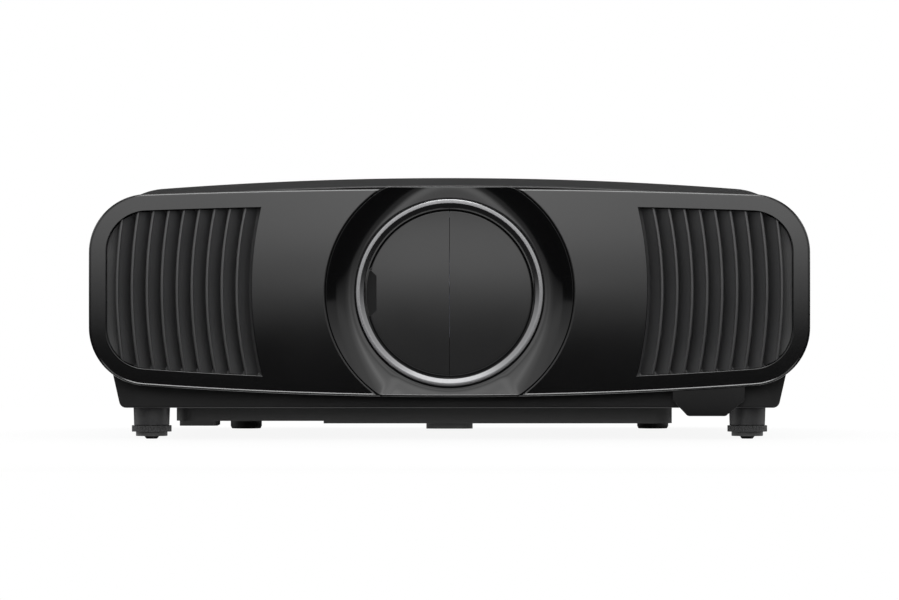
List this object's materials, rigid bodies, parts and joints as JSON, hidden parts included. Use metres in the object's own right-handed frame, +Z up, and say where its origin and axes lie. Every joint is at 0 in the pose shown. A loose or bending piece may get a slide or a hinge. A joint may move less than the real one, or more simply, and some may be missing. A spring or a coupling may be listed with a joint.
{
  "type": "home projector",
  "caption": "Home cinema projector: dark moulded shell, louvred grilles beside a centred lens with a silver ring, a two-leaf sliding shutter, lens shift, screw feet, rear connectors.",
  "frame": {"origin": "on the floor under the middle of the part's box", "axes": "+Z up, the lens looks along -Y, +X at the right of someone who faces the lens"},
  "size_m": [0.52, 0.447, 0.193],
  "materials": {
    "case": "fine-textured dark grey moulding",
    "fascia": "fine-grained charcoal satin",
    "grille": "satin charcoal",
    "surround": "gloss black",
    "ring": "brushed, anodised",
    "window": "gloss black, passes infrared",
    "leaf": "satin charcoal",
    "black_plastic": "matt black",
    "keys": "satin grey",
    "lamps": "translucent",
    "rubber": "matt black",
    "foot_metal": "knurled",
    "steel": "zinc plated",
    "cast": "die cast",
    "anodised": "black anodised",
    "brass": "turned",
    "glass": "coated",
    "board": "solder mask",
    "filter": "pleated"
  },
  "bodies": {
    "root": {"bottom_case": "case", "top_case": "case", "rear_panel": "case", "foot_sockets": "case", "front_panel": "fascia", "left_grille": "grille", "right_grille": "grille", "lens_surround": "surround", "control_panel": "surround", "lens_ring": "ring", "sensor_window": "window", "base_pan": "black_plastic", "shutter_housing": "black_plastic", "port_plate": "black_plastic", "power_inlet": "black_plastic", "fan_frames": "black_plastic", "status_lamps": "lamps", "rear_feet": "rubber", "shutter_motor": "steel", "hdmi_sockets": "steel", "data_sockets": "steel", "control_sockets": "steel", "power_supply": "steel", "case_screws": "steel", "optical_engine": "cast", "laser_module": "cast", "heat_sink": "cast", "shift_frame": "cast", "mount_inserts": "brass", "prism_block": "glass", "port_board": "board", "main_board": "board"},
    "left_shutter": {"left_shutter": "leaf"},
    "right_shutter": {"right_shutter": "leaf"},
    "shutter_pinion": {"shutter_pinion": "brass"},
    "vertical_carriage": {"vertical_carriage": "cast"},
    "lens": {"horizontal_carriage": "cast", "lens_barrel": "anodised", "lens_glass": "glass"},
    "focus_ring": {"focus_ring": "black_plastic"},
    "zoom_ring": {"zoom_ring": "black_plastic"},
    "vertical_screw": {"vertical_screw": "steel"},
    "phosphor_wheel": {"phosphor_wheel": "brass"},
    "left_fan": {"left_fan_rotor": "black_plastic"},
    "right_fan": {"right_fan_rotor": "black_plastic"},
    "rear_fan": {"rear_fan_rotor": "black_plastic"},
    "filter_door": {"filter_cover": "case", "air_filter": "filter"},
    "left_foot_pad": {"left_foot_pad": "rubber"},
    "left_foot_screw": {"left_foot_screw": "foot_metal"},
    "right_foot_pad": {"right_foot_pad": "rubber"},
    "right_foot_screw": {"right_foot_screw": "foot_metal"},
    "power_button": {"power_button": "keys"},
    "input_button": {"input_button": "keys"},
    "menu_button": {"menu_button": "keys"},
    "up_button": {"up_button": "keys"},
    "down_button": {"down_button": "keys"},
    "left_button": {"left_button": "keys"},
    "right_button": {"right_button": "keys"},
    "enter_button": {"enter_button": "keys"}
  },
  "joints": [
    {"name": "shutter_open", "type": "slide", "parent": "root", "child": "left_shutter", "axis": [-1, 0, 0], "range_m": [0, 0.062]},
    {"name": "right_leaf_slide", "type": "slide", "parent": "root", "child": "right_shutter", "axis": [1, 0, 0], "range_m": [0, 0.062]},
    {"name": "pinion_spin", "type": "hinge", "parent": "root", "child": "shutter_pinion", "pos_m": [0, -0.1885, 0.172], "axis": [0, 0, 1], "range_deg": [-890, 0]},
    {"name": "lens_shift_vertical", "type": "slide", "parent": "root", "child": "vertical_carriage", "axis": [0, 0, 1], "range_m": [-0.0088, 0.0088]},
    {"name": "lens_shift_horizontal", "type": "slide", "parent": "vertical_carriage", "child": "lens", "axis": [1, 0, 0], "range_m": [-0.0077, 0.0077]},
    {"name": "vertical_screw_spin", "type": "hinge", "parent": "root", "child": "vertical_screw", "pos_m": [0.11, -0.0895, 0.106], "axis": [0, 0, 1], "range_deg": [-1600, 1600]},
    {"name": "focus_turn", "type": "hinge", "parent": "lens", "child": "focus_ring", "pos_m": [0, -0.1485, 0.106], "axis": [0, 1, 0], "range_deg": [-50, 50]},
    {"name": "zoom_turn", "type": "hinge", "parent": "lens", "child": "zoom_ring", "pos_m": [0, -0.1185, 0.106], "axis": [0, 1, 0], "range_deg": [-35, 35]},
    {"name": "phosphor_wheel_spin", "type": "hinge", "parent": "root", "child": "phosphor_wheel", "pos_m": [-0.17, 0.0565, 0.096], "axis": [0, 1, 0], "continuous": true},
    {"name": "left_fan_spin", "type": "hinge", "parent": "root", "child": "left_fan", "pos_m": [-0.19, -0.154, 0.106], "axis": [0, 1, 0], "continuous": true},
    {"name": "right_fan_spin", "type": "hinge", "parent": "root", "child": "right_fan", "pos_m": [0.19, -0.154, 0.106], "axis": [0, 1, 0], "continuous": true},
    {"name": "rear_fan_spin", "type": "hinge", "parent": "root", "child": "rear_fan", "pos_m": [-0.172, 0.1295, 0.106], "axis": [0, 1, 0], "continuous": true},
    {"name": "filter_door_swing", "type": "hinge", "parent": "root", "child": "filter_door", "pos_m": [-0.137, 0.222, 0.0543], "axis": [-1, 0, 0], "range_deg": [0, 80]},
    {"name": "left_foot_extend", "type": "slide", "parent": "root", "child": "left_foot_pad", "axis": [0, 0, -1], "range_m": [0, 0.01]},
    {"name": "left_foot_turn", "type": "hinge", "parent": "left_foot_pad", "child": "left_foot_screw", "pos_m": [-0.217, -0.1735, 0.01], "axis": [0, 0, 1], "range_deg": [-5, 2405]},
    {"name": "right_foot_extend", "type": "slide", "parent": "root", "child": "right_foot_pad", "axis": [0, 0, -1], "range_m": [0, 0.01]},
    {"name": "right_foot_turn", "type": "hinge", "parent": "right_foot_pad", "child": "right_foot_screw", "pos_m": [0.217, -0.1735, 0.01], "axis": [0, 0, 1], "range_deg": [-5, 2405]},
    {"name": "power_button_press", "type": "slide", "parent": "root", "child": "power_button", "axis": [-1, 0, 0], "range_m": [0, 0.0006], "stiffness_N_per_m": 1000, "springref_m": -0.0005},
    {"name": "input_button_press", "type": "slide", "parent": "root", "child": "input_button", "axis": [-1, 0, 0], "range_m": [0, 0.0006], "stiffness_N_per_m": 1000, "springref_m": -0.0005},
    {"name": "menu_button_press", "type": "slide", "parent": "root", "child": "menu_button", "axis": [-1, 0, 0], "range_m": [0, 0.0006], "stiffness_N_per_m": 1000, "springref_m": -0.0005},
    {"name": "up_button_press", "type": "slide", "parent": "root", "child": "up_button", "axis": [-1, 0, 0], "range_m": [0, 0.0006], "stiffness_N_per_m": 1000, "springref_m": -0.0005},
    {"name": "down_button_press", "type": "slide", "parent": "root", "child": "down_button", "axis": [-1, 0, 0], "range_m": [0, 0.0006], "stiffness_N_per_m": 1000, "springref_m": -0.0005},
    {"name": "left_button_press", "type": "slide", "parent": "root", "child": "left_button", "axis": [-1, 0, 0], "range_m": [0, 0.0006], "stiffness_N_per_m": 1000, "springref_m": -0.0005},
    {"name": "right_button_press", "type": "slide", "parent": "root", "child": "right_button", "axis": [-1, 0, 0], "range_m": [0, 0.0006], "stiffness_N_per_m": 1000, "springref_m": -0.0005},
    {"name": "enter_button_press", "type": "slide", "parent": "root", "child": "enter_button", "axis": [-1, 0, 0], "range_m": [0, 0.0006], "stiffness_N_per_m": 1000, "springref_m": -0.0005}
  ],
  "couplings": [
    {"joint": "right_leaf_slide", "follows": "shutter_open", "ratio": 1},
    {"joint": "pinion_spin", "follows": "shutter_open", "rad_per_m": -250},
    {"joint": "vertical_screw_spin", "follows": "lens_shift_vertical", "rad_per_m": 3141.6},
    {"joint": "left_foot_turn", "follows": "left_foot_extend", "rad_per_m": 4188.8},
    {"joint": "right_foot_turn", "follows": "right_foot_extend", "rad_per_m": 4188.8}
  ]
}
